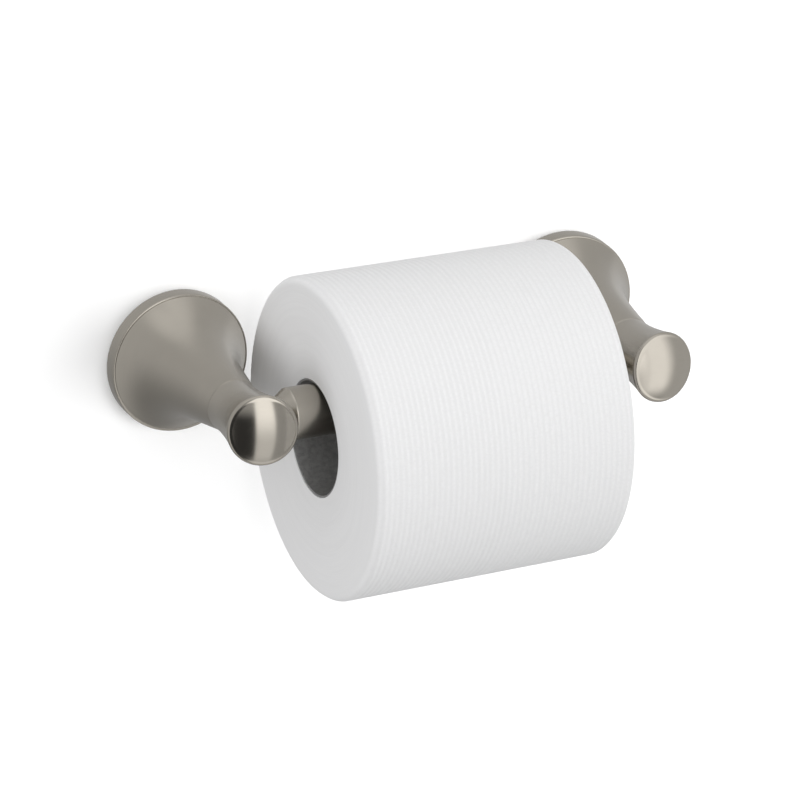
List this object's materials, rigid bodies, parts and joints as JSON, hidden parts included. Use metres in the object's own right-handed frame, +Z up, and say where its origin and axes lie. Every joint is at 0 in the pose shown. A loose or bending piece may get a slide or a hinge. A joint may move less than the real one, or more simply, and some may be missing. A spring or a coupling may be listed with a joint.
{
  "type": "toilet paper holder",
  "caption": "Two-post wall-mounted toilet paper holder with bell-shaped bases, tilted round knobs, a sprung cross roller and a full roll of ribbed white paper.",
  "frame": {"origin": "on the wall plane, midway between the two posts and level with their centre lines", "axes": "+X along the roller from the left post to the right one, +Y into the wall, +Z up"},
  "size_m": [0.2094, 0.1544, 0.1178],
  "materials": {
    "brushed_nickel": "satin",
    "zinc_plated_steel": "satin",
    "spring_steel": "satin",
    "anchor_plastic": "matte",
    "tissue_paper": "matte",
    "core_board": "matte"
  },
  "bodies": {
    "holder": {"left_wall_bracket": "zinc_plated_steel", "right_wall_bracket": "zinc_plated_steel", "left_escutcheon": "brushed_nickel", "right_escutcheon": "brushed_nickel", "left_post": "brushed_nickel", "right_post": "brushed_nickel", "left_joining_screw": "zinc_plated_steel", "right_joining_screw": "zinc_plated_steel", "left_lock_washer": "zinc_plated_steel", "right_lock_washer": "zinc_plated_steel", "left_set_screw": "zinc_plated_steel", "right_set_screw": "zinc_plated_steel", "left_wall_screws": "zinc_plated_steel", "right_wall_screws": "zinc_plated_steel", "left_wall_anchors": "anchor_plastic", "right_wall_anchors": "anchor_plastic"},
    "roller": {"roller_outer_tube": "brushed_nickel", "roller_left_end": "brushed_nickel", "roller_spring": "spring_steel"},
    "roller_slider": {"roller_inner_tube": "brushed_nickel", "roller_right_end": "brushed_nickel"},
    "paper_roll": {"toilet_paper": "tissue_paper", "cardboard_core": "core_board"}
  },
  "joints": [
    {"name": "roller_spin", "type": "hinge", "parent": "holder", "child": "roller", "pos_m": [0, -0.066, 0], "axis": [1, 0, 0], "continuous": true},
    {"name": "roller_compress", "type": "slide", "parent": "roller", "child": "roller_slider", "axis": [-1, 0, 0], "range_m": [0, 0.01], "stiffness_N_per_m": 400, "springref_m": -0.012, "deforming": ["roller_spring"]},
    {"name": "roll_spin", "type": "hinge", "parent": "holder", "child": "paper_roll", "pos_m": [0, -0.066, -0.0111], "axis": [1, 0, 0], "continuous": true}
  ],
  "couplings": [
    {"joint": "roller_spin", "follows": "roll_spin", "ratio": 2.1753}
  ]
}
